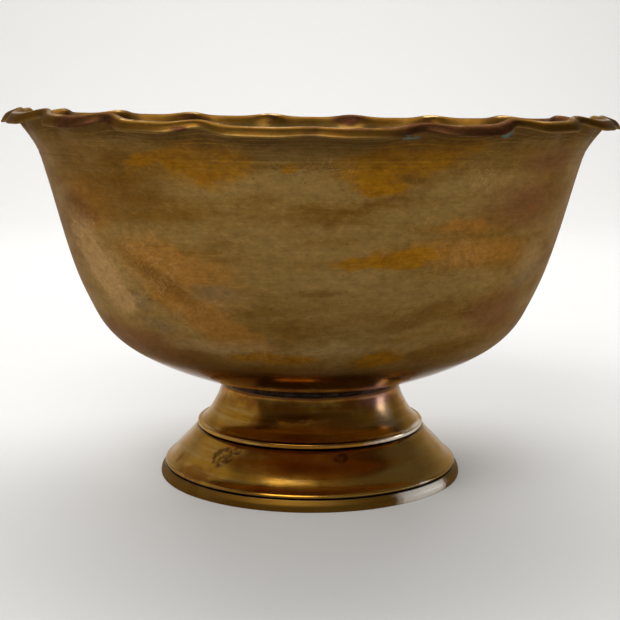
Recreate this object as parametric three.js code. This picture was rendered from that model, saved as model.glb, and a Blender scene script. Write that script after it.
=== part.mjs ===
// A footed brass bowl: a deep bowl spun from sheet, with a fluted lip that is turned over and down,
// standing on a stepped foot. The foot is built up from a collar, a skirt and a base ring, and every
// joint is soft-soldered. Millimetres, +Z up. The origin is on the axis, on the surface it stands on.
import * as THREE from "three";

// Driving dimensions of the bowl, as [radius, height] in the middle of the sheet.
const BOWL_SHEET = 1.0;
const UNDERSIDE_HEIGHT = 36.7;
const UNDERSIDE_RISE = 0.0034;
const UNDERSIDE_RADIUS = 50;
const WALL_POINTS = [
  [65.8, 51.5], [79.2, 59.2], [87.6, 67.5], [92.9, 77.2],
  [98.4, 89.6], [104, 107], [109.7, 128], [112.7, 138],
];

// The lip's section at its two extremes, as [radius, height]: pinched up at a crest, rolled out at a lobe.
const CREST_SECTION = [
  [115.3, 144], [116.9, 148.5], [118, 151.5], [119.4, 153.3], [121, 153], [122, 151.1],
];
const LOBE_SECTION = [
  [116.2, 143.5], [119.2, 147.3], [121.4, 150.2], [123.2, 151.8], [125.4, 151.3], [127.3, 148.7],
];

// The lip is fluted by hand. Its crests are sharper at the edge than along the ridge, they sit a little
// closer together towards -Y, and the one that faces -Y is struck more lightly than the rest. The rim is
// not quite level: it sags at the front, stays lower round the back, and is higher on -X than on +X.
const LOBES = 19;
const LOBE_UNEVENNESS = 0.055;
const EDGE_SHARPNESS = 1.9;
const LIGHT_CREST = 0.7;
const LIGHT_CREST_POWER = 160;
const RIM_HEIGHT = 152;
const RIM_SAG = 1.2;
const RIM_FRONT_SAG = 0.8;
const RIM_BACK_DROP = 0.8;
const RIM_TILT = 1.2;
const UNLEVEL_POWER = 8;

// Driving dimensions of the foot. These are outer faces.
const FOOT_SHEET = 1.2;
const COLLAR_TOP = [38.5, 40.4];
const COLLAR_POINTS = [[44.3, 26], [41.8, 30], [39.8, 34], [38.7, 37.5]];
const COLLAR_WALL_FOOT = [47.3, 23.2];
const BEAD_RADIUS = 48.8;
const BEAD_FOOT = 21.1;
const BEAD_TOP = 23.0;
const BEAD_ROUND = 0.5;
const SKIRT_RADIUS = 63;
const SKIRT_FOOT = 5.0;
const SKIRT_WALL_FOOT = [62.5, 6.5];
const SKIRT_POINTS = [[60.1, 8.3], [56.9, 12], [52.8, 16]];
const SKIRT_WALL_TOP = [49.8, 19.6];
const LEDGE_HEIGHT = 20.8;
const LEDGE_OUTER_RADIUS = 48.6;
const LEDGE_INNER_RADIUS = 44;
const RING_HEIGHT = 4.7;
const RING_OUTER_RADIUS = 65;
const RING_SHOULDER = [64.7, 2.3];
const RING_TOP_RADIUS = 63.2;
const RING_INNER_RADIUS = 59.4;
const RING_FOOT_ROUND = 0.7;
const RING_TOP_ROUND = 0.3;

// Solder fills the corners, and stays this far from the pieces that it joins.
const CLEARANCE = 0.3;
const NECK_SOLDER_RADIUS = 38.9;
const NECK_SOLDER_HEIGHT = 1.9;
const NECK_SOLDER_REACH = 3.6;
const NECK_SOLDER_WAIST = [1, 1.1];
const COLLAR_FILLET_RADIUS = 46.4;
const BASE_FILLET_RADIUS = 61.2;
const FILLET_WIDTH = 1.7;
const FILLET_TIP = [0.65, 1.05];

// Smoothness of the turned and fluted surfaces.
const SECTIONS_PER_LOBE = 6;
const FOOT_SEGMENTS = 48;
const UNDERSIDE_STEPS = 2;
const WALL_STEPS = 17;
const FOOT_WALL_STEPS = 4;

// The metals, as [colour, roughness].
const BOWL_BRASS = [0x8c6a2f, 0.45];
const FOOT_BRASS = [0xa0701f, 0.25];
const SOLDER = [0x4b4e54, 0.6];

function piece(name, geometry, [color, roughness]) {
  const material = new THREE.MeshStandardMaterial({ color, roughness, metalness: 1 });
  const mesh = new THREE.Mesh(geometry, material);
  mesh.name = name;
  return mesh;
}

function vectors(points) {
  return points.map(([radius, height]) => new THREE.Vector2(radius, height));
}

function smoothLine(points, steps) {
  return new THREE.SplineCurve(points).getPoints(steps);
}

// Moves each point of a line square to the line. A positive distance is to the right of its direction.
function offsetLine(line, distance) {
  return line.map((point, index) => {
    const before = line[Math.max(index - 1, 0)];
    const after = line[Math.min(index + 1, line.length - 1)];
    const along = after.clone().sub(before).normalize();
    return new THREE.Vector2(point.x + along.y * distance, point.y - along.x * distance);
  });
}

// A ring turned round the axis from a closed outline of [radius, height] points.
function turnedRing(outline) {
  const geometry = new THREE.LatheGeometry([...outline, outline[0]], FOOT_SEGMENTS);
  return geometry.rotateX(Math.PI / 2);
}

// The underside of the bowl is a shallow dish.
function undersideHeight(radius) {
  return UNDERSIDE_HEIGHT + UNDERSIDE_RISE * radius ** 2;
}

function undersideLine() {
  const line = [];
  for (let step = 0; step < UNDERSIDE_STEPS; step += 1) {
    const radius = (UNDERSIDE_RADIUS * step) / UNDERSIDE_STEPS;
    line.push(new THREE.Vector2(radius, undersideHeight(radius)));
  }
  return line;
}

// How far the lip is rolled out at one place: 0 at a crest and 1 at the middle of a lobe. The share runs
// from 0 at the top of the wall to 1 at the lip's edge.
function fullness(turn, share) {
  const pinch = ((1 + Math.cos(LOBES * turn)) / 2) ** (1 + EDGE_SHARPNESS * share);
  const strength = 1 - LIGHT_CREST * Math.cos(turn / 2) ** LIGHT_CREST_POWER;
  return 1 - pinch * strength;
}

function lipPoints(turn) {
  const lobe = vectors(LOBE_SECTION);
  return vectors(CREST_SECTION).map((point, index) => {
    return point.lerp(lobe[index], fullness(turn, index / (lobe.length - 1)));
  });
}

function lobeAngle(turn) {
  return turn - LOBE_UNEVENNESS * Math.sin(turn);
}

// How far the rim stands above its mean height.
function rimRise(angle) {
  const sag = RIM_SAG + RIM_FRONT_SAG * Math.cos(angle);
  const drop = (RIM_BACK_DROP * (1 - Math.cos(angle))) / 2;
  return sag * (1 - 2 * Math.cos(angle) ** 4) - drop - RIM_TILT * Math.sin(angle);
}

// The middle of the bowl's sheet on one side, from the axis to the lip's edge.
function bowlLine(turn) {
  const dishEdge = new THREE.Vector2(UNDERSIDE_RADIUS, undersideHeight(UNDERSIDE_RADIUS));
  const wall = smoothLine([dishEdge, ...vectors(WALL_POINTS), ...lipPoints(turn)], WALL_STEPS);
  const rise = rimRise(lobeAngle(turn));
  for (const point of wall) {
    point.y += rise * (point.y / RIM_HEIGHT) ** UNLEVEL_POWER;
  }
  return [...undersideLine(), ...wall];
}

// Both faces of the sheet, out along the underside and back along the inside.
function bowlSection(turn) {
  const middle = bowlLine(turn);
  const outside = offsetLine(middle, BOWL_SHEET / 2);
  const inside = offsetLine(middle, -BOWL_SHEET / 2);
  outside[0].x = 0;
  inside[0].x = 0;
  return [...outside, ...inside.reverse()];
}

// A closed skin through sections that start and end on the axis, at equal parts of each lobe.
function bowlGeometry() {
  const columns = LOBES * SECTIONS_PER_LOBE;
  const firstSection = bowlSection(0);
  const rows = firstSection.length - 2;
  const positions = [];
  const triangles = [];
  for (let column = 0; column < columns; column += 1) {
    const turn = (2 * Math.PI * column) / columns;
    const angle = lobeAngle(turn);
    for (const point of bowlSection(turn).slice(1, -1)) {
      positions.push(point.x * Math.sin(angle), -point.x * Math.cos(angle), point.y);
    }
  }
  const underPole = columns * rows;
  const insidePole = underPole + 1;
  positions.push(0, 0, firstSection.at(0).y, 0, 0, firstSection.at(-1).y);
  for (let column = 0; column < columns; column += 1) {
    const here = column * rows;
    const next = ((column + 1) % columns) * rows;
    triangles.push(underPole, next, here);
    for (let row = 0; row < rows - 1; row += 1) {
      triangles.push(here + row, next + row, next + row + 1);
      triangles.push(here + row, next + row + 1, here + row + 1);
    }
    triangles.push(insidePole, here + rows - 1, next + rows - 1);
  }
  const geometry = new THREE.BufferGeometry();
  geometry.setAttribute("position", new THREE.Float32BufferAttribute(positions, 3));
  geometry.setIndex(triangles);
  geometry.computeVertexNormals();
  return geometry;
}

// A trumpet-shaped collar with a rounded bead round its lower edge.
function collarGeometry() {
  const [wallFoot, wallTop] = vectors([COLLAR_WALL_FOOT, COLLAR_TOP]);
  const wall = smoothLine([wallFoot, ...vectors(COLLAR_POINTS), wallTop], FOOT_WALL_STEPS);
  const lining = offsetLine(wall, -FOOT_SHEET);
  const bead = vectors([
    [lining[0].x + CLEARANCE, BEAD_FOOT],
    [BEAD_RADIUS - BEAD_ROUND, BEAD_FOOT],
    [BEAD_RADIUS, BEAD_FOOT + BEAD_ROUND],
    [BEAD_RADIUS, BEAD_TOP - BEAD_ROUND],
    [BEAD_RADIUS - BEAD_ROUND, BEAD_TOP],
  ]);
  return turnedRing([...bead, ...wall, ...lining.reverse()]);
}

// A sloping skirt, with a ledge at its top that the collar stands on.
function skirtGeometry() {
  const [wallFoot, wallTop] = vectors([SKIRT_WALL_FOOT, SKIRT_WALL_TOP]);
  const wall = smoothLine([wallFoot, ...vectors(SKIRT_POINTS), wallTop], FOOT_WALL_STEPS);
  const lining = offsetLine(wall, -FOOT_SHEET);
  const edge = vectors([
    [SKIRT_RADIUS - FOOT_SHEET, SKIRT_FOOT],
    [SKIRT_RADIUS, SKIRT_FOOT],
    [SKIRT_RADIUS, (SKIRT_FOOT + wallFoot.y) / 2],
  ]);
  const ledge = vectors([
    [LEDGE_OUTER_RADIUS, LEDGE_HEIGHT],
    [LEDGE_INNER_RADIUS, LEDGE_HEIGHT],
    [LEDGE_INNER_RADIUS, LEDGE_HEIGHT - FOOT_SHEET],
  ]);
  return turnedRing([...edge, ...wall, ...ledge, ...lining.reverse()]);
}

// A solid ring with a bulging outer face. Its flat underside is what the bowl stands on.
function baseRingGeometry() {
  const outline = [
    [RING_INNER_RADIUS, 0],
    [RING_OUTER_RADIUS - RING_FOOT_ROUND, 0],
    [RING_OUTER_RADIUS, RING_FOOT_ROUND],
    RING_SHOULDER,
    [RING_TOP_RADIUS + RING_TOP_ROUND, RING_HEIGHT - RING_TOP_ROUND],
    [RING_TOP_RADIUS, RING_HEIGHT],
    [RING_INNER_RADIUS, RING_HEIGHT],
  ];
  return turnedRing(vectors(outline));
}

// The solder in the corner between the collar and the underside of the bowl.
function neckSolderGeometry() {
  const underBowl = (radius) => undersideHeight(radius) - BOWL_SHEET / 2 - CLEARANCE;
  const foot = underBowl(NECK_SOLDER_RADIUS) - NECK_SOLDER_HEIGHT;
  const outer = NECK_SOLDER_RADIUS + NECK_SOLDER_REACH;
  const outline = [
    [NECK_SOLDER_RADIUS, foot],
    [NECK_SOLDER_RADIUS + NECK_SOLDER_WAIST[0], foot + NECK_SOLDER_WAIST[1]],
    [outer, underBowl(outer)],
    [NECK_SOLDER_RADIUS, underBowl(NECK_SOLDER_RADIUS)],
  ];
  return turnedRing(vectors(outline));
}

// A three-sided fillet of solder on a flat ledge, against the wall outside it.
function filletGeometry(wallRadius, height) {
  const outline = [
    [wallRadius - FILLET_WIDTH, height],
    [wallRadius, height],
    [wallRadius - FILLET_TIP[0], height + FILLET_TIP[1]],
  ];
  return turnedRing(vectors(outline));
}

const footedBowl = new THREE.Group();
footedBowl.add(
  piece("bowl", bowlGeometry(), BOWL_BRASS),
  piece("neck_solder", neckSolderGeometry(), SOLDER),
  piece("foot_collar", collarGeometry(), FOOT_BRASS),
  piece("collar_solder", filletGeometry(COLLAR_FILLET_RADIUS, LEDGE_HEIGHT + CLEARANCE), SOLDER),
  piece("foot_skirt", skirtGeometry(), FOOT_BRASS),
  piece("base_solder", filletGeometry(BASE_FILLET_RADIUS, RING_HEIGHT + CLEARANCE), SOLDER),
  piece("base_ring", baseRingGeometry(), FOOT_BRASS),
);

export default footedBowl;
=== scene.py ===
import math

import bpy
import numpy as np
from mathutils import Matrix, Vector


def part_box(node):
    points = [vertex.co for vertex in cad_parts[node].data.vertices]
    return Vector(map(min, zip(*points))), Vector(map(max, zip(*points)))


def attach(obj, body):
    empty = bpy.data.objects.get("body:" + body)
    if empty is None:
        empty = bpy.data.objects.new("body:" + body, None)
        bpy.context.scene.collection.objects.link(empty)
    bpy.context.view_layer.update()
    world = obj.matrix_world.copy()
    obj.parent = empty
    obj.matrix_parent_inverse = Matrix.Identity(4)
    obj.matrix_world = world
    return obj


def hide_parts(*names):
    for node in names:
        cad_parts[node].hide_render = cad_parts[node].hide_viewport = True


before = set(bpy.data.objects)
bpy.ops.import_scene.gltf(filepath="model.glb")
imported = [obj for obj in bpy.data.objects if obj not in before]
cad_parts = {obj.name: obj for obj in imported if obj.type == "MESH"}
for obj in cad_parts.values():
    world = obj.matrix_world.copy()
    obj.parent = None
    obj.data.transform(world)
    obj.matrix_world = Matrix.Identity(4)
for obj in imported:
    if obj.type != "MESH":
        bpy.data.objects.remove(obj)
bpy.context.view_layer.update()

# Lengths below are in millimetres, and MM turns them into metres. Azimuths are in degrees from -Y, and
# positive towards +X.
MM = 0.001

# The middle of the bowl's sheet as (radius, height): the wall, and the lip's section at its two extremes.
# The underside is a shallow dish that rises with the square of the radius.
BOWL_SHEET = 1.0
UNDERSIDE_HEIGHT = 36.7
UNDERSIDE_RISE = 0.0034
UNDERSIDE_RADIUS = 50
WALL = [(65.8, 51.5), (79.2, 59.2), (87.6, 67.5), (92.9, 77.2),
        (98.4, 89.6), (104, 107), (109.7, 128), (112.7, 138)]
CREST = [(115.3, 144), (116.9, 148.5), (118, 151.5), (119.4, 153.3), (121, 153), (122, 151.1)]
LOBE = [(116.2, 143.5), (119.2, 147.3), (121.4, 150.2), (123.2, 151.8), (125.3, 151.3), (127.05, 148.7)]

# The fluting, as in the part: the lobes, how unevenly they are spaced (in radians), how much sharper their
# crests get towards the edge, and how much of the crest at -Y is missing. Then the rim's mean height, how
# far it sags, drops and tilts, and how quickly that fades below it.
LOBES = 19
LOBE_UNEVENNESS = 0.055
EDGE_SHARPNESS = 1.9
LIGHT_CREST = 0.7
LIGHT_CREST_POWER = 160
RIM_HEIGHT = 152
RIM_SAG = 1.2
RIM_FRONT_SAG = 0.8
RIM_BACK_DROP = 0.8
RIM_TILT = 1.2
UNLEVEL_POWER = 8

# Two shallow grooves that the spinner left under the lip, as (height, depth), and their width.
GROOVES = [(139.2, 0.16), (136.4, 0.1)]
GROOVE_WIDTH = 0.7

# Dents in the wall as (azimuth, height, half angle, half height, depth).
DENTS = [(-74, 118, 14, 26, 0.5), (-52, 92, 9, 10, 0.3), (63, 104, 10, 14, 0.35), (31, 88, 14, 8, 0.22),
         (118, 96, 12, 12, 0.4), (-131, 110, 10, 15, 0.45), (171, 86, 9, 8, 0.35), (-9, 118, 12, 12, 0.15)]

# The turned foot, by its outer faces, as (radius, height) or (radius, height, corner radius).
FOOT_SHEET = 1.2
COLLAR_WALL = [(47.3, 23.2), (44.3, 26), (41.8, 30), (39.8, 34), (38.7, 37.5), (38.5, 40.4)]
BEAD = [(46.6, 21.1, 0), (48.8, 21.1, 0.6), (48.8, 23.2, 0.9)]
SKIRT_WALL = [(62.5, 6.5), (60.1, 8.3), (56.9, 12), (52.8, 16), (49.8, 19.6)]
SKIRT_EDGE = [(61.8, 5.0, 0.2), (63, 5.0, 0.25), (63, 5.9, 0.2)]
LEDGE = [(48.6, 20.8), (44, 20.8), (44, 19.6)]
BASE_RING = [(59.4, 0, 0.3), (65, 0, 0.7), (64.7, 2.3, 0.8), (63.3, 4.7, 0.35), (59.4, 4.7, 0.3)]

# The solder: its section at the neck where it is thickest, how far its lower edge rises on the other sides
# and how fast, the width of the fillets in the foot and how far in from their outside their tip is.
# All of it swells by (how many swells round the ring, turn in radians, size) and is thinned a little.
NECK_SOLDER = [(38.9, 39.7, 0.2), (40.3, 40.8, 0.4), (42.6, 42.3, 0.2), (38.9, 41.3, 0)]
NECK_RISE = 0.9
NECK_RISE_POWER = 6
FILLET_WIDTH = 1.7
FILLET_TIP = 0.4
SOLDER_SWELLS = [(7, 0.6, 0.12), (17, 0, 0.08), (31, 2, 0.05)]
SOLDER_THINNING = 0.25

# Fineness of the meshes: columns round the axis, the spacing of points along a section, the height where
# the lip's closer spacing starts, and the points round the sheet's edge and in a rounded corner.
COLUMNS_PER_LOBE = 20
TURNED_COLUMNS = 240
DISH_SPACING = 2.5
WALL_SPACING = 1.6
LIP_SPACING = 0.45
GROOVE_SPACING = 0.25
LIP_FOOT = 143
EDGE_STEPS = 5
CORNER_STEPS = 6
RING_SPACING = 0.5
NECK_SPACING = 0.4
FINE_SPACING = 0.3


# ---------------------------------------------------------------- lines in (radius, height)

def spline(points, steps_each):
    """A smooth line through the points, with the same number of steps between each two."""
    p = np.array(points, float)
    before = np.vstack([p[:1], p[:-1]])
    after = np.vstack([p[1:], p[-1:]])
    line = []
    t = np.arange(steps_each)[:, None] / steps_each
    for i in range(len(p) - 1):
        v0 = (p[i + 1] - before[i]) / 2
        v1 = (after[i + 1] - p[i]) / 2
        cubic = (2 * p[i] - 2 * p[i + 1] + v0 + v1) * t**3
        square = (-3 * p[i] + 3 * p[i + 1] - 2 * v0 - v1) * t**2
        line.append(cubic + square + v0 * t + p[i])
    return np.vstack([*line, p[-1:]])


def soften(line, passes):
    """Evens out the bends of a line and keeps its two ends."""
    line = line.copy()
    for _ in range(passes):
        line[1:-1] = (line[:-2] + 2 * line[1:-1] + line[2:]) / 4
    return line


def normals(line):
    """Unit normals to the right of the line's direction."""
    along = np.gradient(line, axis=0)
    along /= np.linalg.norm(along, axis=1, keepdims=True)
    return np.column_stack([along[:, 1], -along[:, 0]])


def arc_cap(end, normal, radius, steps):
    """The round edge of a sheet, from its right-hand face to its left-hand face."""
    ahead = np.array([-normal[1], normal[0]])
    turns = np.linspace(0, math.pi, steps + 2)[1:-1, None]
    return end + radius * (np.cos(turns) * normal + np.sin(turns) * ahead)


def rounded(corners, spacing):
    """A closed outline from (radius, height, corner radius) triples, with points at the spacing."""
    pts = [np.array(c[:2], float) for c in corners]
    outline = []
    for i, corner in enumerate(corners):
        here, back, ahead = pts[i], pts[i - 1], pts[(i + 1) % len(pts)]
        a, b = back - here, ahead - here
        radius = corner[2]
        if radius == 0:
            outline.append([here])
            continue
        start = here + a / np.linalg.norm(a) * radius
        end = here + b / np.linalg.norm(b) * radius
        t = np.linspace(0, 1, CORNER_STEPS)[:, None]
        outline.append(start * (1 - t) ** 2 + 2 * here * t * (1 - t) + end * t**2)
    outline = np.vstack(outline)
    dense = []
    for here, ahead in zip(outline, np.roll(outline, -1, axis=0)):
        count = max(1, round(np.linalg.norm(ahead - here) / spacing))
        t = np.arange(count)[:, None] / count
        dense.append(here * (1 - t) + ahead * t)
    return np.vstack(dense)


# ---------------------------------------------------------------- meshes

def new_object(name, verts, faces):
    """A smooth-shaded object from points in metres."""
    mesh = bpy.data.meshes.new(name)
    mesh.from_pydata([tuple(v) for v in verts], [], faces)
    mesh.validate()
    mesh.polygons.foreach_set("use_smooth", [True] * len(mesh.polygons))
    mesh.update()
    piece = bpy.data.objects.new(name, mesh)
    bpy.context.collection.objects.link(piece)
    return piece


def store(piece, name, values):
    """Keeps one number for each vertex, which the piece's material reads by name."""
    piece.data.attributes.new(name, "FLOAT", "POINT").data.foreach_set("value", np.asarray(values, float))


def turned(name, outline, offset=None):
    """A ring turned round the Z axis from a closed outline that runs anticlockwise, radius to the right."""
    rows = len(outline)
    verts = []
    for column in range(TURNED_COLUMNS):
        angle = 2 * math.pi * column / TURNED_COLUMNS
        section = outline if offset is None else offset(outline, angle)
        x = section[:, 0] * math.sin(angle)
        y = -section[:, 0] * math.cos(angle)
        verts.append(np.column_stack([x, y, section[:, 1]]))
    faces = []
    for column in range(TURNED_COLUMNS):
        here = column * rows
        after = (column + 1) % TURNED_COLUMNS * rows
        for row in range(rows):
            up = (row + 1) % rows
            faces.append((here + row, after + row, after + up, here + up))
    return new_object(name, np.vstack(verts) * MM, faces)


def row_spacing(height):
    """How far apart the bowl's rows are: close at the lip and at the grooves."""
    if height > LIP_FOOT:
        return LIP_SPACING
    if any(abs(height - groove) < 2 * GROOVE_WIDTH for groove, _ in GROOVES):
        return GROOVE_SPACING
    return WALL_SPACING


def pick_rows(line):
    """The points of a fine line that the mesh keeps, with its two ends."""
    kept = [0]
    for i, point in enumerate(line):
        if np.linalg.norm(point - line[kept[-1]]) >= row_spacing(point[1]):
            kept.append(i)
    kept[-1] = len(line) - 1
    return kept


def sheet_line(lip):
    """The middle of the bowl's sheet in fine steps, and how far out on the lip each point is, from 0 to 1."""
    coarse, fine = 8, 6
    softening = 6
    dish_radii = np.arange(0, UNDERSIDE_RADIUS, DISH_SPACING)
    dish = np.column_stack([dish_radii, UNDERSIDE_HEIGHT + UNDERSIDE_RISE * dish_radii**2])
    dish_edge = (UNDERSIDE_RADIUS, UNDERSIDE_HEIGHT + UNDERSIDE_RISE * UNDERSIDE_RADIUS**2)
    wall = spline([dish_edge, *WALL, *lip], coarse)
    line = spline(soften(np.vstack([dish, wall]), softening), fine)
    steps_on_lip = coarse * fine * (len(lip) - 1)
    share = (np.arange(len(line)) - (len(line) - 1)) / steps_on_lip + 1
    return line, np.clip(share, 0, 1)[:, None]


def fullness(turn, share):
    """How far the lip is rolled out: 0 at a crest and 1 at the middle of a lobe."""
    pinch = ((1 + math.cos(LOBES * turn)) / 2) ** (1 + EDGE_SHARPNESS * share)
    return 1 - pinch * (1 - LIGHT_CREST * math.cos(turn / 2) ** LIGHT_CREST_POWER)


def rim_rise(angle):
    """How far the rim stands above its mean height."""
    sag = RIM_SAG + RIM_FRONT_SAG * math.cos(angle)
    drop = RIM_BACK_DROP * (1 - math.cos(angle)) / 2
    return sag * (1 - 2 * math.cos(angle) ** 4) - drop - RIM_TILT * math.sin(angle)


def sheet_relief(line, angle):
    """How far the sheet is pushed in at each point of one side, by its grooves and dents."""
    dent_edge = 1.5
    height = line[:, 1]
    depth = np.zeros(len(line))
    for groove, groove_depth in GROOVES:
        depth += groove_depth * np.exp(-((height - groove) / (GROOVE_WIDTH / 2)) ** 2)
    for azimuth, dent_height, half_angle, half_height, dent_depth in DENTS:
        turn = (math.degrees(angle) - azimuth + 180) % 360 - 180
        far = (turn / half_angle) ** 2 + ((height - dent_height) / half_height) ** 2
        depth += dent_depth * np.exp(-far * dent_edge)
    return depth[:, None]


def bowl_section(crest, lobe, share, turn):
    """One side of the bowl, from the underside to the inside, and how far each point is from the edge."""
    angle = turn - LOBE_UNEVENNESS * math.sin(turn)
    middle = crest + (lobe - crest) * fullness(turn, share)
    middle[:, 1] += rim_rise(angle) * (middle[:, 1] / RIM_HEIGHT) ** UNLEVEL_POWER
    middle -= normals(middle) * sheet_relief(middle, angle)
    side = normals(middle)
    cap = arc_cap(middle[-1], side[-1], BOWL_SHEET / 2, EDGE_STEPS)
    under = (middle + side * BOWL_SHEET / 2)[1:]
    inside = (middle - side * BOWL_SHEET / 2)[1:]
    section = np.vstack([under, cap, inside[::-1]])
    x = section[:, 0] * math.sin(angle)
    y = -section[:, 0] * math.cos(angle)
    steps = np.linalg.norm(np.diff(middle, axis=0), axis=1)
    to_edge = np.append(np.cumsum(steps[::-1])[::-1], 0)[1:]
    from_edge = np.concatenate([-to_edge, np.zeros(len(cap)), to_edge[::-1]])
    return np.column_stack([x, y, section[:, 1]]), from_edge


def make_bowl():
    crest, share = sheet_line(CREST)
    lobe, share = sheet_line(LOBE)
    kept = pick_rows(crest)
    columns = LOBES * COLUMNS_PER_LOBE
    verts, faces, from_edge = [], [], []
    for column in range(columns):
        section, way = bowl_section(crest[kept], lobe[kept], share[kept], 2 * math.pi * column / columns)
        verts.append(section)
        from_edge.append(way)
    rows = len(verts[0])
    poles = columns * rows
    verts.append([(0, 0, UNDERSIDE_HEIGHT - BOWL_SHEET / 2), (0, 0, UNDERSIDE_HEIGHT + BOWL_SHEET / 2)])
    from_edge.append([from_edge[0][0], from_edge[0][-1]])
    for column in range(columns):
        here = column * rows
        after = (column + 1) % columns * rows
        faces.append((poles, after, here))
        for row in range(rows - 1):
            faces.append((here + row, after + row, after + row + 1, here + row + 1))
        faces.append((poles + 1, here + rows - 1, after + rows - 1))
    bowl = new_object("bowl_sheet", np.vstack(verts) * MM, faces)
    store(bowl, "from_edge", np.concatenate(from_edge))
    return bowl


def edge_and_wall(edge, wall, ending):
    """A rounded edge, drawn as if the line went on to its ending, cut where the wall starts, and the wall."""
    line = rounded([*edge, (*wall[0], 0), *ending], FINE_SPACING)
    last = np.argmin(np.linalg.norm(line - wall[0], axis=1))
    return [*line[:last], *wall]


def make_collar():
    wall = soften(spline(COLLAR_WALL, 7), 8)
    lining = wall - normals(wall) * FOOT_SHEET
    outline = np.vstack([*edge_and_wall(BEAD, wall, [(*lining[0], 0)]), lining[::-1]])
    return turned("collar", outline)


def make_skirt():
    wall = soften(spline(SKIRT_WALL, 8), 8)
    lining = wall - normals(wall) * FOOT_SHEET
    outline = np.vstack([*edge_and_wall(SKIRT_EDGE, wall, []), LEDGE, lining[::-1]])
    return turned("skirt", outline)


def make_base_ring():
    return turned("ring", rounded(BASE_RING, RING_SPACING))


def lumpy(outline, angle):
    """Solder runs unevenly: its outer face swells and thins from place to place."""
    swell = sum(size * math.sin(count * angle + turn) for count, turn, size in SOLDER_SWELLS)
    outer = (outline[:, 0] - outline[:, 0].min()) / np.ptp(outline[:, 0])
    return outline + np.column_stack([outer * (swell - SOLDER_THINNING), np.zeros(len(outline))])


def neck_run(outline, angle):
    """The solder at the neck ran down towards -Y, and is thin on the other sides."""
    outline = lumpy(outline, angle)
    rise = NECK_RISE * (1 - math.cos(angle / 2) ** NECK_RISE_POWER)
    low = (outline[:, 1].max() - outline[:, 1]) / np.ptp(outline[:, 1])
    outline[:, 1] += low * rise
    return outline


def make_neck_solder():
    return turned("neck_seam", rounded(NECK_SOLDER, NECK_SPACING), neck_run)


def make_fillet(name, node):
    low, high = (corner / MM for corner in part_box(node))
    inner, tip = high.x - FILLET_WIDTH, high.x - FILLET_WIDTH * FILLET_TIP
    corners = [(inner, low.z, 0.1), (high.x, low.z, 0.1), (tip, high.z, 0.3)]
    return turned(name, rounded(corners, FINE_SPACING), lumpy)


# ---------------------------------------------------------------- materials

# Scratches on the wall as (direction in degrees from level, seed), the size of the noise that they are cut
# from, the wall's millimetres for a degree, and how far the level streaks rise at +90 degrees.
SCRATCH_TURNS = [(38, 3), (-31, 17), (12, 41), (-62, 59), (74, 83)]
SCRATCH_SIZE = (9, 0.3, 1)
MM_PER_DEGREE = 1.8
STREAK_RISE = 9


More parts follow.
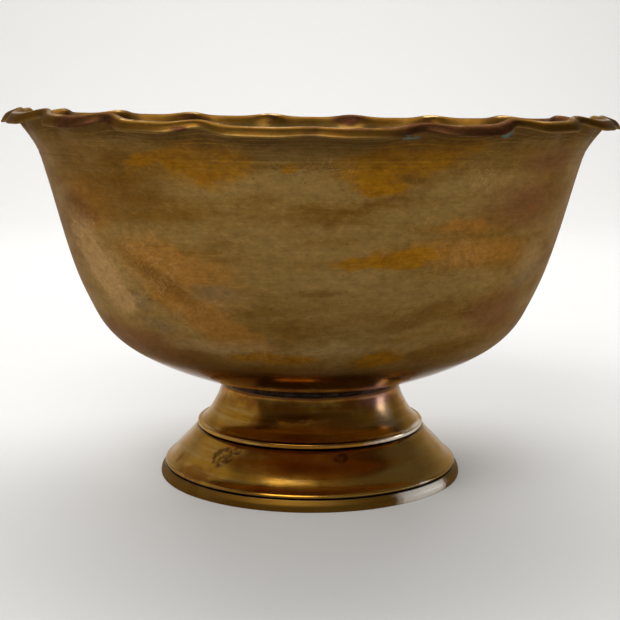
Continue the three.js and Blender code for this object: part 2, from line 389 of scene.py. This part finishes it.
class Paint:
    """Builds the nodes of one metallic material."""

    def __init__(self, name):
        self.material = bpy.data.materials.new(name)
        self.material.use_nodes = True
        self.tree = self.material.node_tree
        self.shader = self.tree.nodes["Principled BSDF"]
        place = self.tree.nodes.new("ShaderNodeTexCoord").outputs["Object"]
        self.place = self.add("VectorMath", place, (1 / MM,) * 3, operation="MULTIPLY")
        x, y, self.height = self.add("SeparateXYZ", self.place, every=True)
        self.radius = self.math("SQRT", self.math("MULTIPLY_ADD", x, x, self.math("MULTIPLY", y, y)))
        self.turn = self.math("ARCTAN2", x, self.math("MULTIPLY", y, -1))
        self.azimuth = self.math("DEGREES", self.turn)
        self.flat = None
        self.tilted = None

    def add(self, kind, *values, every=False, **settings):
        """Adds a node, gives its inputs the values in order and returns its first output, or every one."""
        node = self.tree.nodes.new("ShaderNode" + kind)
        for name, value in settings.items():
            setattr(node, name, value)
        for socket, value in zip(node.inputs, values):
            self.give(socket, value)
        return node.outputs[:] if every else node.outputs[0]

    def give(self, socket, value):
        if isinstance(value, bpy.types.NodeSocket):
            self.tree.links.new(value, socket)
        elif value is not None:
            socket.default_value = value

    def math(self, operation, a, b=0.0, c=0.0):
        return self.add("Math", a, b, c, operation=operation)

    def tilt(self, rise):
        """Keeps the places of a pattern whose level streaks rise by this at +90 degrees and fall at -90."""
        drop = self.math("MULTIPLY", self.math("SINE", self.turn), -rise)
        drop = self.add("CombineXYZ", 0.0, 0.0, drop)
        self.tilted = self.add("VectorMath", self.place, drop, operation="ADD")

    def noise(self, size, stretch=(1, 1, 1), detail=3.0, rough=0.5, seed=0.0, place=None):
        """Cloudy noise of about this size, drawn out along X, Y and Z by the stretch. Mostly 0.3 to 0.7."""
        step = [1 / (size * s) for s in stretch]
        place = self.add("VectorMath", place or self.place, step, (seed,) * 3, operation="MULTIPLY_ADD")
        return self.add("TexNoise", place, None, 1.0, detail, rough)

    def lines(self, along, size, detail, seed=0.0):
        """Turning lines: noise that only changes along one measure."""
        where = self.math("MULTIPLY_ADD", along, 1 / size, seed)
        return self.add("TexNoise", None, where, 1.0, detail, 0.6, noise_dimensions="1D")

    def mask(self, value, low, high):
        """0 up to low and 1 from high on, smoothly between. Low may be the larger."""
        if low > high:
            return self.math("SUBTRACT", 1.0, self.mask(value, high, low))
        return self.add("MapRange", value, low, high, 0.0, 1.0, interpolation_type="SMOOTHSTEP")

    def both(self, *masks):
        result = masks[0]
        for other in masks[1:]:
            result = self.math("MULTIPLY", result, other)
        return result

    def mix(self, mask, below, above):
        """Puts one colour over another where the mask is 1."""
        node = self.tree.nodes.new("ShaderNodeMix")
        node.data_type = "RGBA"
        self.give(node.inputs[0], mask)
        for socket, colour in ((node.inputs[6], below), (node.inputs[7], above)):
            self.give(socket, (*colour, 1) if isinstance(colour, tuple) else colour)
        return node.outputs[2]

    def cover(self, colour, mask, above, amount):
        """Puts a colour over another one where the mask is 1, by this amount at most."""
        return self.mix(self.math("MULTIPLY", mask, amount), colour, above)

    def fade(self, mask, below, above):
        """Changes one number to another where the mask is 1."""
        node = self.tree.nodes.new("ShaderNodeMix")
        self.give(node.inputs[0], mask)
        self.give(node.inputs[2], below)
        self.give(node.inputs[3], above)
        return node.outputs[0]

    def shade(self, colour, amount):
        """Lightens or darkens a colour by a number round 1."""
        return self.add("VectorMath", colour, amount, operation="MULTIPLY")

    def unroll(self, wander, size, seed):
        """Lays the surface out flat as (azimuth, height), with places moved about so that edges wander."""
        drift = self.noise(size, detail=4, rough=0.62, seed=seed)
        rise = self.noise(size, detail=4, rough=0.62, seed=seed + 9)
        turn = self.math("MULTIPLY_ADD", drift, wander, self.azimuth)
        high = self.math("MULTIPLY_ADD", rise, wander, self.height)
        self.flat = self.add("CombineXYZ", self.math("SUBTRACT", turn, wander / 2),
                             self.math("SUBTRACT", high, wander / 2), 0.0)

    def spot(self, azimuth, height, half_angle, half_height, slant=0.0):
        """1 at the middle of an oval place, 0 on its outline and less outside."""
        away = self.add("VectorMath", self.flat, (azimuth, height, 0), operation="SUBTRACT")
        if slant:
            turn, rise, _ = self.add("SeparateXYZ", away, every=True)
            away = self.add("CombineXYZ", turn, self.math("MULTIPLY_ADD", turn, -slant, rise), 0.0)
        away = self.add("VectorMath", away, (1 / half_angle, 1 / half_height, 0), operation="MULTIPLY")
        far = self.add("VectorMath", away, operation="LENGTH", every=True)[1]
        return self.math("SUBTRACT", 1.0, far)

    def patches(self, spots, soft, ragged=None, ragged_by=0.0, others=None):
        """A mask of oval places with wandering outlines, joined with the others' field."""
        field = others
        for place in spots:
            near = self.spot(*place)
            field = near if field is None else self.math("MAXIMUM", field, near)
        if ragged is not None:
            field = self.math("MULTIPLY_ADD", self.math("SUBTRACT", ragged, 0.5), ragged_by, field)
        return self.mask(field, -soft, soft)

    def hairs(self, where):
        """A mask of fine scratches a few millimetres long, at several angles, and more of them in a place."""
        across = self.math("MULTIPLY", self.azimuth, MM_PER_DEGREE)
        unrolled = self.add("CombineXYZ", across, self.height, 0.0)
        field = None
        for turn, seed in SCRATCH_TURNS:
            place = self.add("Mapping", unrolled, (seed, seed, 0), (0, 0, math.radians(turn)), SCRATCH_SIZE,
                             vector_type="TEXTURE")
            strokes = self.add("TexNoise", place, None, 1.0, 1.0, 0.5)
            field = strokes if field is None else self.math("MAXIMUM", field, strokes)
        sparse = self.mask(field, 0.73, 0.82)
        dense = self.mask(field, 0.6, 0.74)
        return self.fade(where, sparse, dense)

    def outward(self):
        """How squarely the surface faces away from the axis."""
        normal = self.add("NewGeometry", every=True)[1]
        level = self.add("VectorMath", self.place, (1, 1, 0), operation="MULTIPLY")
        level = self.add("VectorMath", level, operation="NORMALIZE")
        return self.add("VectorMath", normal, level, operation="DOT_PRODUCT", every=True)[1]

    def finish(self, colour, roughness, relief, depth, metallic=1.0):
        """Joins everything to the shader. Relief runs from 0 to 1 and stands for the depth in mm."""
        self.give(self.shader.inputs["Base Color"], colour)
        self.give(self.shader.inputs["Roughness"], roughness)
        self.give(self.shader.inputs["Metallic"], metallic)
        bump = self.tree.nodes.new("ShaderNodeBump")
        bump.inputs["Distance"].default_value = depth * MM
        self.give(bump.inputs["Height"], relief)
        self.give(self.shader.inputs["Normal"], bump.outputs[0])
        return self.material


# Colours of the metal, as the share of red, green and blue that it reflects. The bowl's wall:
OLIVE = (0.176, 0.087, 0.013)
UMBER = (0.125, 0.052, 0.0065)
VEIL = (0.243, 0.145, 0.042)
PALE_VEIL = (0.35, 0.225, 0.088)
GOLD = (0.265, 0.116, 0.004)
DEEP_GOLD = (0.215, 0.082, 0.003)
COPPER = (0.28, 0.124, 0.021)
TAN = (0.4, 0.24, 0.095)
PLUM = (0.16, 0.064, 0.024)
SLATE = (0.18, 0.118, 0.052)
COVE_DIRT_AND_SHADE = (0.085, 0.042, 0.011)
RESIN = (0.27, 0.115, 0.009)
# The bowl's inside and lip:
INNER = (0.25, 0.145, 0.035)
OCHRE = (0.135, 0.066, 0.01)
WEAR_AND_HIGHLIGHT = (0.5, 0.34, 0.14)
RUST = (0.055, 0.021, 0.008)
WINE = (0.08, 0.026, 0.014)
VERDIGRIS = (0.05, 0.15, 0.125)
# The foot and the solder:
AMBER = (0.38, 0.185, 0.018)
PALE_AMBER = (0.44, 0.265, 0.07)
BURNT = (0.2, 0.058, 0.007)
RING_BROWN_AND_SHADE = (0.12, 0.056, 0.007)
VIOLET = (0.36, 0.15, 0.17)
LEAD = (0.05, 0.052, 0.064)
LEAD_DARK = (0.014, 0.014, 0.018)
# A pale grey of bare solder and worn metal, also used for painted highlights.
LEAD_SHINE = (0.92, 0.87, 0.8)
# How the metals tint what they mirror at a low angle.
BOWL_EDGE_TINT = (0.66, 0.58, 0.52, 1)
FOOT_EDGE_TINT = (0.8, 0.72, 0.62, 1)

# Places on the foot, as (azimuth, height, half angle, half height).
FOOT_STAINS = [(-52, 8, 8, 2.4), (-48, 3, 3, 2), (-70, 10, 2, 2), (54, 2, 1.2, 2), (120, 9, 9, 3),
               (-137, 14, 8, 3), (150, 3, 9, 2), (10, 26, 3, 0.6)]
WATER_MARKS = [(-42, 15.6, 6, 3), (-35, 18, 2, 1.2), (14, 18, 3, 1.4), (95, 14, 6, 2.5), (168, 28, 8, 3)]
VIOLET_PLACES = [(46, 38, 13, 4), (-120, 37, 16, 4)]
PALE_SKIRT_PLACES = [(50, 12, 26, 9)]
SKIRT_BROWN_AND_SHADE_PLACES = [(8, 17.5, 34, 5)]
COLLAR_GLINT_PLACES = [(49, 31, 7, 7)]
RING_WEAR_AND_GLINT_PLACES = [(47, 2.5, 13, 6)]
SMEAR_AND_GLINT_PLACES = [(58, 22.2, 26, 1.6), (48, 2.5, 12, 3)]

# Places on the bowl's wall, as (azimuth, height, half angle, half height) and, for some, a slant in
# millimetres for a degree.
GOLD_PLACES = [(-18.5, 138, 8, 8), (-25, 139, 4, 4), (-31, 138, 5, 3, 0.2), (10, 136, 6, 7),
               (17, 140, 10, 6), (12, 129, 5, 2.6), (24, 144, 8, 3), (-3, 137, 2, 1.5), (11, 103, 8, 2.2),
               (18, 104, 8, 3.2, 0.1), (17, 64, 7, 3, 0.2), (-9, 65, 12, 2.5), (0, 52, 60, 4)]
COPPER_PLACES = [(-49, 122, 8, 9), (-30, 99, 14, 9, -0.4), (-26, 84, 14, 9, -1.0), (-20, 77, 9, 4, -0.5),
                 (32, 115, 8, 2.5), (36, 104.5, 16, 5, -0.1), (49, 119, 2.5, 2)]
TAN_PLACES = [(-53, 98, 9, 16, -0.9), (-47, 85, 5, 5)]
VEIL_PLACES = [(33, 130, 15, 4, 0.14), (22, 120, 14, 4, 0.1), (8, 114, 12, 3), (5, 69, 11, 2.6),
               (2, 95, 12, 6), (20, 91, 22, 8), (-8, 110, 8, 8), (4, 128, 10, 4), (-20, 90, 9, 5),
               (30, 73, 16, 3, 0.4)]
SLATE_PLACES = [(-41, 86, 3, 3), (-38, 76, 5, 3), (57, 93, 7, 4, 0.4), (-20, 91, 6, 3)]
PLUM_PLACES = [(-56, 118, 6, 7), (47, 122, 10, 8), (-48, 67, 18, 6), (48, 80, 9, 7), (52, 137, 7, 5)]
DARK_PLACES = [(24, 81.5, 9, 3.4, 0.55), (1, 91.5, 5, 1.3, 0.1), (-52, 139, 8, 6), (-56, 121, 4, 5),
               (-33, 94, 9, 4, -1.05), (-42, 128, 12, 12), (-35, 62, 16, 6)]
PALE_PLACES = [(5, 69, 9, 2.2), (-22, 69, 12, 3), (56, 101, 5, 6)]
WIPED_PLACES = [(-38, 98, 12, 12), (32, 104, 6, 5), (0, 138, 7, 5), (-25, 82, 10, 6),
                (34, 132, 6, 4), (-8, 66, 12, 3), (124, 110, 12, 14), (-140, 92, 14, 9)]

# The tints that lie over each other on the wall, as (places, colour, amount, softness of the outline).
WALL_TINTS = [(VEIL_PLACES, VEIL, 0.8, 0.6), (COPPER_PLACES, COPPER, 0.9, 0.5),
              (PLUM_PLACES, PLUM, 0.75, 0.7), (SLATE_PLACES, SLATE, 0.6, 0.6), (DARK_PLACES, UMBER, 0.6, 0.6),
              (PALE_PLACES, PALE_VEIL, 0.5, 0.8), (TAN_PLACES, TAN, 0.7, 0.35)]

# Dark stains on the lip and green corrosion just under it.
LIP_STAINS = [(-41, 151, 4.5, 9), (-35, 151, 3, 5), (18, 150, 6, 9), (27, 149, 5, 4),
              (-20.5, 149.2, 1.9, 1.0), (31, 150, 3, 6), (10, 151, 4, 2), (112, 151, 7, 9),
              (-98, 151, 5, 9), (171, 151, 4, 7), (-150, 150, 4, 2)]
GREEN_PLACES = [(15.5, 147.3, 2.6, 0.45), (34.5, 147.6, 1.8, 1.0), (128, 147.5, 3, 0.8),
                (-116, 147.6, 2, 0.7)]


class BowlPaint(Paint):
    """The bowl's patterns and masks. From_edge is negative on the outside and positive on the inside."""

    def __init__(self):
        super().__init__("bowl_brass")
        self.from_edge = self.add("Attribute", attribute_name="from_edge", every=True)[2]
        self.inside = self.mask(self.from_edge, -0.3, 0.3)
        self.outside = self.mask(self.from_edge, 0.3, -0.3)
        self.tilt(STREAK_RISE)
        self.streaks = self.noise(34, (1.6, 1.6, 0.22), 5, 0.55, place=self.tilted)
        self.clouds = self.noise(38, (1.3, 1.3, 0.7), 5, 0.55, 3)
        self.blotches = self.noise(10, (1.6, 1.6, 0.7), 6, 0.66, 11)
        self.mottle = self.noise(2.6, (1.5, 1.5, 0.8), 5, 0.7, 7)
        self.grain = self.noise(0.7, (2.2, 2.2, 0.8), 3, 0.6, 5)
        self.rings = self.lines(self.math("ADD", self.height, self.radius), 0.9, 4)
        self.brushed = self.noise(0.32, (70, 70, 1), 3, 0.6, 13)
        self.specks = self.mask(self.noise(1.7, detail=2, seed=23), 0.69, 0.75)
        ragged = self.math("MULTIPLY_ADD", self.mottle, 0.35, self.math("MULTIPLY", self.blotches, 0.65))
        self.ragged = self.math("MULTIPLY_ADD", self.brushed, 0.12, self.math("MULTIPLY", ragged, 0.88))
        self.unroll(8, 15, 31)

    def band(self, *slopes):
        """A mask of a band of the sheet, by its way to the edge, with a slope at one end or at both."""
        return self.both(*[self.mask(self.from_edge, *slope) for slope in slopes])


def wall_colour(p):
    """A thin brown film with greyer streaks, patches of other tints, and gold where it has worn off.

    Gives the colour and the mask of the gold.
    """
    film = p.math("MULTIPLY_ADD", p.streaks, 0.6, p.math("MULTIPLY", p.clouds, 0.4))
    colour = p.mix(p.mask(film, 0.36, 0.62), OLIVE, VEIL)
    colour = p.cover(colour, p.mask(p.clouds, 0.52, 0.3), UMBER, 0.6)
    for places, tint, amount, soft in WALL_TINTS:
        colour = p.cover(colour, p.patches(places, soft, p.ragged, 1.8), tint, amount)
    # The back has gold from noise alone, and the front only has it at its places.
    front = p.mask(p.math("ABSOLUTE", p.azimuth), 95, 65)
    spread = p.math("MULTIPLY_ADD", p.clouds, 5.0, -3.05)
    spread = p.math("MULTIPLY_ADD", front, -1.6, spread)
    gold = p.patches(GOLD_PLACES, 0.35, p.ragged, 1.5, spread)
    golden = p.mix(p.mask(p.ragged, 0.34, 0.66), DEEP_GOLD, GOLD)
    return p.cover(colour, gold, golden, 0.93), gold


def rubbed_colour(p, colour):
    """Fine scratches that cross at many angles, bunched where a cloth has rubbed, and dark specks.

    Gives the colour and the mask of the scratches.
    """
    rubbed = p.patches(WIPED_PLACES, 0.6, p.blotches, 2.0, p.math("MULTIPLY_ADD", p.clouds, 4, -2.8))
    scratch = p.hairs(rubbed)
    colour = p.cover(colour, scratch, TAN, 0.55)
    colour = p.cover(colour, p.mask(p.brushed, 0.56, 0.74), TAN, 0.17)
    colour = p.cover(colour, p.mask(p.brushed, 0.42, 0.28), UMBER, 0.22)
    return p.cover(colour, p.specks, UMBER, 0.55), scratch


def lip_colour(p, colour):
    """The inside, and a dull brown lip with a painted highlight on its worn ridge and edge, painted shade in
    its folds, stains, and green under it.

    Gives the colour and the masks of the lip, the ridge, the stains and the green.
    """
    colour = p.mix(p.inside, colour, INNER)
    colour = p.mix(p.both(p.inside, p.mask(p.streaks, 0.35, 0.65), 0.6), colour, OCHRE)
    colour = p.mix(p.both(p.inside, p.mask(p.blotches, 0.55, 0.7), 0.5), colour, UMBER)
    lip = p.band((13, 8), (-1.2, -0.2))
    colour = p.mix(lip, colour, p.mix(p.mask(p.ragged, 0.42, 0.58), OCHRE, UMBER))
    # Painted shade: the folds at the pinches between the lobes are darkened.
    lobe_turn = p.math("MULTIPLY_ADD", p.math("SINE", p.turn), LOBE_UNEVENNESS, p.turn)
    pinch = p.mask(p.math("COSINE", p.math("MULTIPLY", lobe_turn, LOBES)), 0.8, 1)
    crease_shade = p.both(pinch, p.band((14, 9), (-6, -1)), p.mask(p.blotches, 0.4, 0.55))
    colour = p.cover(colour, crease_shade, RUST, 0.7)
    # The worn ridge is lightened, partly by wear and partly as a painted highlight along its crest.
    ridge = p.both(p.band((3.2, 4.0), (5.4, 4.4)), p.mask(p.blotches, 0.42, 0.58))
    colour = p.cover(colour, ridge, WEAR_AND_HIGHLIGHT, 0.8)
    # A painted highlight along the sheet's rounded edge.
    colour = p.cover(colour, p.mask(p.math("ABSOLUTE", p.from_edge), 0.7, 0.1), WEAR_AND_HIGHLIGHT, 0.12)
    stains = p.both(p.patches(LIP_STAINS, 0.5, p.ragged, 2.4), p.band((11, 8), (-5, -1)))
    colour = p.cover(colour, stains, p.mix(p.mask(p.mottle, 0.4, 0.6), RUST, WINE), 0.85)
    green = p.both(p.patches(GREEN_PLACES, 0.5, p.mottle, 1.6), p.outside, p.mask(p.height, 140, 143))
    return p.cover(colour, green, VERDIGRIS, 0.7), lip, ridge, stains, green


def bowl_brass():
    p = BowlPaint()
    colour, gold = wall_colour(p)
    colour, scratch = rubbed_colour(p, colour)

    # Dirt and painted shade in the hollow under the lip, and painted shade below the hollow.
    cove_dirt_and_shade = p.both(p.outside, p.band((-18, -11)), p.mask(p.rings, 0.2, 0.5))
    shaded = p.both(p.outside, p.band((-29, -18)), p.mask(p.brushed, 0.25, 0.6))
    colour = p.cover(colour, shaded, COVE_DIRT_AND_SHADE, 0.45)
    colour = p.cover(colour, cove_dirt_and_shade, COVE_DIRT_AND_SHADE, 0.8)
    colour, lip, ridge, stains, green = lip_colour(p, colour)

    # The bottom was never rubbed, and keeps its first colour and polish.
    bottom = p.both(p.mask(p.radius, 50.8, 50.0), p.outside)
    near_bottom = p.both(p.mask(p.height, 60, 53), p.outside)
    colour = p.cover(colour, bottom, RESIN, 0.9)
    light = p.math("MULTIPLY_ADD", p.grain, 0.5, 0.75)
    light = p.math("MULTIPLY", light, p.math("MULTIPLY_ADD", p.mottle, 1.1, 0.45))
    light = p.math("MULTIPLY", light, p.math("MULTIPLY_ADD", p.rings, 0.16, 0.92))
    colour = p.shade(colour, light)

    rough = p.fade(gold, 0.46, 0.38)
    for mask, roughness in [(scratch, 0.3), (near_bottom, 0.12), (bottom, 0.07), (p.inside, 0.36),
                            (lip, 0.42), (ridge, 0.16), (cove_dirt_and_shade, 0.55), (stains, 0.5)]:
        rough = p.fade(mask, rough, roughness)
    rough = p.math("MULTIPLY", rough, p.math("MULTIPLY_ADD", p.blotches, 0.5, 0.75))
    relief = p.math("MULTIPLY_ADD", p.rings, 0.5, p.math("MULTIPLY", p.grain, 0.35))
    relief = p.math("MULTIPLY_ADD", scratch, -0.25, relief)
    relief = p.math("MULTIPLY_ADD", p.specks, -0.3, relief)
    p.shader.inputs["Anisotropic"].default_value = 0.3
    p.shader.inputs["Specular Tint"].default_value = BOWL_EDGE_TINT
    return p.finish(colour, rough, relief, depth=0.02, metallic=p.fade(green, 1.0, 0.2))


class FootPaint(Paint):
    """The foot's patterns."""

    def __init__(self):
        super().__init__("foot_brass")
        along = self.math("SUBTRACT", self.height, self.radius)
        self.fine = self.lines(along, 0.35, 3)
        self.broad = self.lines(along, 2.6, 3, 7)
        self.turned_lines = self.noise(0.6, (40, 40, 1), 3, 0.6, 37)
        self.streaks = self.noise(20, (1.4, 1.4, 0.12), 4, 0.6)
        self.clouds = self.noise(24, (1, 1, 0.8), 4, 0.55, 3)
        self.blotches = self.noise(6, detail=5, rough=0.65, seed=11)
        self.mottle = self.noise(1.8, detail=4, rough=0.65, seed=29)
        self.grain = self.noise(0.5, (3, 3, 0.5), 3, 0.6, 5)
        self.unroll(5, 7, 19)


def polished_colour(p):
    """Polished brass with turning lines, and browner clouds."""
    colour = p.mix(p.mask(p.streaks, 0.4, 0.75), AMBER, PALE_AMBER)
    for pattern, low, high, tint, amount in [
        (p.clouds, 0.5, 0.36, BURNT, 0.5), (p.broad, 0.5, 0.7, PALE_AMBER, 0.25),
        (p.fine, 0.6, 0.75, BURNT, 0.35), (p.turned_lines, 0.45, 0.3, BURNT, 0.5),
        (p.turned_lines, 0.6, 0.72, PALE_AMBER, 0.5), (p.mottle, 0.55, 0.75, BURNT, 0.3),
    ]:
        colour = p.cover(colour, p.mask(pattern, low, high), tint, amount)
    return colour


def heated_colour(p, colour):
    """Red-brown tarnish and a violet bloom below the neck's solder, paler and browner places, a painted
    highlight, and painted shade.
    """
    heat = p.both(p.mask(p.height, 30, 37), p.mask(p.blotches, 0.3, 0.6), p.mask(p.radius, 44, 41))
    colour = p.cover(colour, heat, BURNT, 0.75)
    colour = p.cover(colour, p.patches(VIOLET_PLACES, 0.6), VIOLET, 0.45)
    colour = p.cover(colour, p.patches(PALE_SKIRT_PLACES, 0.8, p.blotches, 0.8), PALE_AMBER, 0.6)
    # Browner along the skirt's top at the front: partly tarnish, partly painted shade under the bowl.
    colour = p.cover(colour, p.patches(SKIRT_BROWN_AND_SHADE_PLACES, 0.6, p.blotches, 0.8), BURNT, 0.6)
    # A painted highlight on the collar's right side.
    colour = p.cover(colour, p.patches(COLLAR_GLINT_PLACES, 0.6, p.mottle, 0.6), LEAD_SHINE, 0.15)
    # Painted shade: a dark band on the collar just under the neck's solder.
    return p.cover(colour, p.mask(p.height, 38.2, 39.2), RUST, 0.9)


def stained_colour(p, colour, stains):
    """Brown stains, and water marks that are darkest round their outline."""
    colour = p.cover(colour, stains, BURNT, 0.6)
    for mark in WATER_MARKS:
        near = p.spot(*mark)
        inner = p.both(p.mask(near, 0, 0.25), p.mask(p.mottle, 0.4, 0.55))
        colour = p.cover(colour, inner, RUST, 0.6)
        outline = p.both(p.mask(near, -0.15, 0.15), p.mask(near, 0.6, 0.25), p.mask(p.mottle, 0.3, 0.5))
        colour = p.cover(colour, outline, RUST, 0.6)
    return colour


def foot_brass():
    p = FootPaint()
    stains = p.patches(FOOT_STAINS, 0.3, p.blotches, 1.4)
    colour = stained_colour(p, heated_colour(p, polished_colour(p)), stains)

    # The base ring is browned where it meets the table, partly tarnish and partly painted shade, and worn
    # grey in one place, where a painted highlight lies.
    ring_side = p.mask(p.height, 4.6, 4.3)
    # The worn place is also a painted highlight.
    worn = p.patches(RING_WEAR_AND_GLINT_PLACES, 0.3, p.mottle, 0.6)
    colour = p.cover(colour, p.both(ring_side, p.mask(worn, 1, 0)), RING_BROWN_AND_SHADE, 0.85)
    colour = p.cover(colour, p.both(ring_side, worn), LEAD_SHINE, 0.8)

    # Solder is smeared along the bead, partly as a painted highlight, and painted shade darkens the two
    # steps.
    smear_and_glint = p.patches(SMEAR_AND_GLINT_PLACES, 0.4, p.mottle, 0.8)
    # The smear is partly a painted highlight on the bead and the ring.
    colour = p.cover(colour, p.both(smear_and_glint, p.mask(p.height, 24, 23.4)), LEAD_SHINE, 0.7)
    # Painted shade in the two steps between the pieces.
    step = p.both(p.mask(p.height, 20.0, 20.7), p.mask(p.height, 21.5, 21.2))
    low_step = p.both(p.mask(p.height, 4.2, 4.6), p.mask(p.height, 5.7, 5.2), p.mask(p.radius, 61.5, 62.3))
    colour = p.cover(colour, p.math("MAXIMUM", step, low_step), LEAD_DARK, 0.85)

    # The faces towards the axis were never polished.
    lining = p.mask(p.outward(), 0.05, -0.1)
    colour = p.cover(colour, lining, UMBER, 0.75)
    colour = p.shade(colour, p.math("MULTIPLY_ADD", p.grain, 0.4, 0.8))

    rough = p.fade(p.mask(p.clouds, 0.4, 0.65), 0.12, 0.22)
    rough = p.math("MULTIPLY_ADD", p.fine, 0.08, rough)
    for mask, roughness in [(stains, 0.42), (ring_side, 0.48), (lining, 0.5)]:
        rough = p.fade(mask, rough, roughness)
    relief = p.math("MULTIPLY_ADD", p.fine, 0.8, p.math("MULTIPLY", p.grain, 0.12))
    p.shader.inputs["Anisotropic"].default_value = 0.35
    p.shader.inputs["Specular Tint"].default_value = FOOT_EDGE_TINT
    return p.finish(colour, rough, relief, depth=0.012)


def solder_grey():
    p = Paint("solder")
    lumps = p.noise(3.5, detail=4, rough=0.6)
    grain = p.noise(0.5, detail=3, seed=4)
    colour = p.mix(p.mask(lumps, 0.38, 0.62), LEAD_DARK, LEAD)
    colour = p.shade(colour, p.math("MULTIPLY_ADD", grain, 0.6, 0.7))
    rough = p.fade(p.mask(lumps, 0.4, 0.6), 0.55, 0.38)
    relief = p.math("MULTIPLY_ADD", lumps, 0.8, p.math("MULTIPLY", grain, 0.15))
    return p.finish(colour, rough, relief, depth=0.12, metallic=0.85)


# ---------------------------------------------------------------- camera, light and stage

# The camera in metres and degrees, and its lens in millimetres. It looks along +Y and a little down.
CAMERA_PLACE = (-0.0002, -0.5486, 0.1587)
CAMERA_DROP = 9.19
CAMERA_ROLL = 0.2
SENSOR_WIDTH = 36
FOCAL_LENGTH = 74.69

# Soft lights in metres and watts, as (name, place, target, size, power): one over the backdrop, one high
# in front, a narrow window on the right and a large weak one on the left.
LIGHTS = [("top", (0, 0.75, 1.3), (0, 0.5, 0), (1.8, 1.0), 21),
          ("front", (-0.25, -0.75, 0.85), (0, -0.1, 0), (0.7, 0.45), 6),
          ("window", (1.05, 0.14, 0.22), (0, 0, 0.03), (0.2, 0.4), 0.65),
          ("left", (-1.6, 0.3, 0.7), (0, 0, 0.08), (2.0, 1.6), 4)]
SKY_COLOUR = (1, 0.985, 0.96, 1)
SKY_STRENGTH = 0.155
PAPER = (0.82, 0.815, 0.8, 1)


def make_camera():
    data = bpy.data.cameras.new("camera")
    data.sensor_width = SENSOR_WIDTH
    data.lens = FOCAL_LENGTH
    camera = bpy.data.objects.new("camera", data)
    bpy.context.collection.objects.link(camera)
    pitch = Matrix.Rotation(math.radians(90 - CAMERA_DROP), 4, "X")
    roll = Matrix.Rotation(math.radians(CAMERA_ROLL), 4, "Z")
    camera.matrix_world = Matrix.Translation(CAMERA_PLACE) @ pitch @ roll
    bpy.context.scene.camera = camera


def make_stage():
    """A pale floor that curves up into the backdrop behind the bowl."""
    bend, front, back, top, half_width = 0.5, -2.5, 1.6, 2.2, 3
    turns = np.linspace(0, math.pi / 2, 13)
    line = [(front, 0.0)]
    line += [(back - bend + bend * math.sin(t), bend - bend * math.cos(t)) for t in turns]
    line += [(back, top)]
    verts = [(x, y, z) for y, z in line for x in (-half_width, half_width)]
    faces = [(2 * i, 2 * i + 1, 2 * i + 3, 2 * i + 2) for i in range(len(line) - 1)]
    stage = new_object("stage", verts, faces)
    paper = bpy.data.materials.new("paper")
    paper.use_nodes = True
    shader = paper.node_tree.nodes["Principled BSDF"]
    shader.inputs["Base Color"].default_value = PAPER
    shader.inputs["Roughness"].default_value = 0.85
    stage.data.materials.append(paper)


def softbox(name, place, target, size, power):
    data = bpy.data.lights.new(name, "AREA")
    data.shape = "RECTANGLE"
    data.size, data.size_y = size
    data.energy = power
    light = bpy.data.objects.new(name, data)
    light.location = place
    light.rotation_euler = (Vector(target) - Vector(place)).to_track_quat("-Z", "Y").to_euler()
    bpy.context.collection.objects.link(light)


def make_lights():
    for light in LIGHTS:
        softbox(*light)
    world = bpy.data.worlds.new("studio")
    bpy.context.scene.world = world
    world.use_nodes = True
    background = world.node_tree.nodes["Background"]
    background.inputs["Color"].default_value = SKY_COLOUR
    background.inputs["Strength"].default_value = SKY_STRENGTH
    bpy.context.scene.view_settings.view_transform = "Standard"


make_camera()
make_stage()
make_lights()
bowl_metal = bowl_brass()
foot_metal = foot_brass()
solder_metal = solder_grey()

for piece, node, slot, material in [
    (make_bowl(), "bowl", "bowl_brass", bowl_metal),
    (make_neck_solder(), "neck_solder", "solder", solder_metal),
    (make_collar(), "foot_collar", "foot_brass", foot_metal),
    (make_fillet("collar_seam", "collar_solder"), "collar_solder", "solder", solder_metal),
    (make_skirt(), "foot_skirt", "foot_brass", foot_metal),
    (make_fillet("base_seam", "base_solder"), "base_solder", "solder", solder_metal),
    (make_base_ring(), "base_ring", "foot_brass", foot_metal),
]:
    piece.data.materials.append(material)
    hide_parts(node)
    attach(piece, "root")
